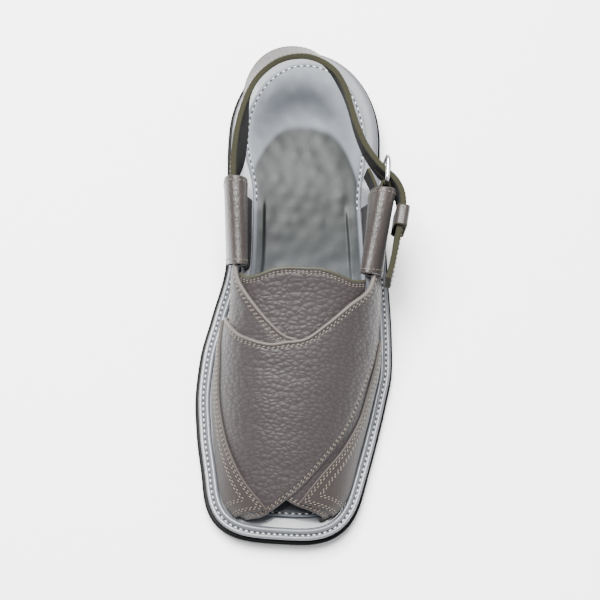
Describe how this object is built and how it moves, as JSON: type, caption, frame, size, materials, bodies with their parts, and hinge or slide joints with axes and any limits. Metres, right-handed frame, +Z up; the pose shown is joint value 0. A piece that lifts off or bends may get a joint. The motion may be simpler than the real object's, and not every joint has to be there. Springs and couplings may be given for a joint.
{
  "type": "peshawari chappal",
  "caption": "Left open-toed leather sandal with two crossed vamp flaps, sleeved side quarters and a buckled strap round the heel, on a welted sole with a low heel.",
  "frame": {"origin": "middle of the heel's rest on the floor, 40 mm in front of the platform's rear edge", "axes": "-Y to the toe, +X to the outer (lateral) side of a left foot, +Z up"},
  "size_m": [0.1141, 0.295, 0.081],
  "materials": {
    "black_rubber": "moulded black, half gloss",
    "platform_leather": "smooth pale grey, satin",
    "insole_leather": "padded pale grey, satin",
    "pebbled_leather": "taupe grey with a pebble grain",
    "smooth_leather": "taupe grey, fine grain",
    "strap_leather": "grey outer face, black lining, raw olive edge",
    "chromed_wire": "polished"
  },
  "bodies": {
    "root": {"outsole": "black_rubber", "heel": "black_rubber", "platform": "platform_leather", "welt": "platform_leather", "insole": "insole_leather", "upper": "pebbled_leather", "medial_band": "smooth_leather", "lateral_band": "smooth_leather", "tongue": "pebbled_leather", "quarter_medial": "smooth_leather", "quarter_lateral": "smooth_leather", "heel_strap": "strap_leather", "strap_keeper": "smooth_leather", "buckle_frame": "chromed_wire", "buckle_prong": "chromed_wire", "buckle_chape": "smooth_leather", "buckle_guard": "strap_leather"}
  },
  "joints": []
}
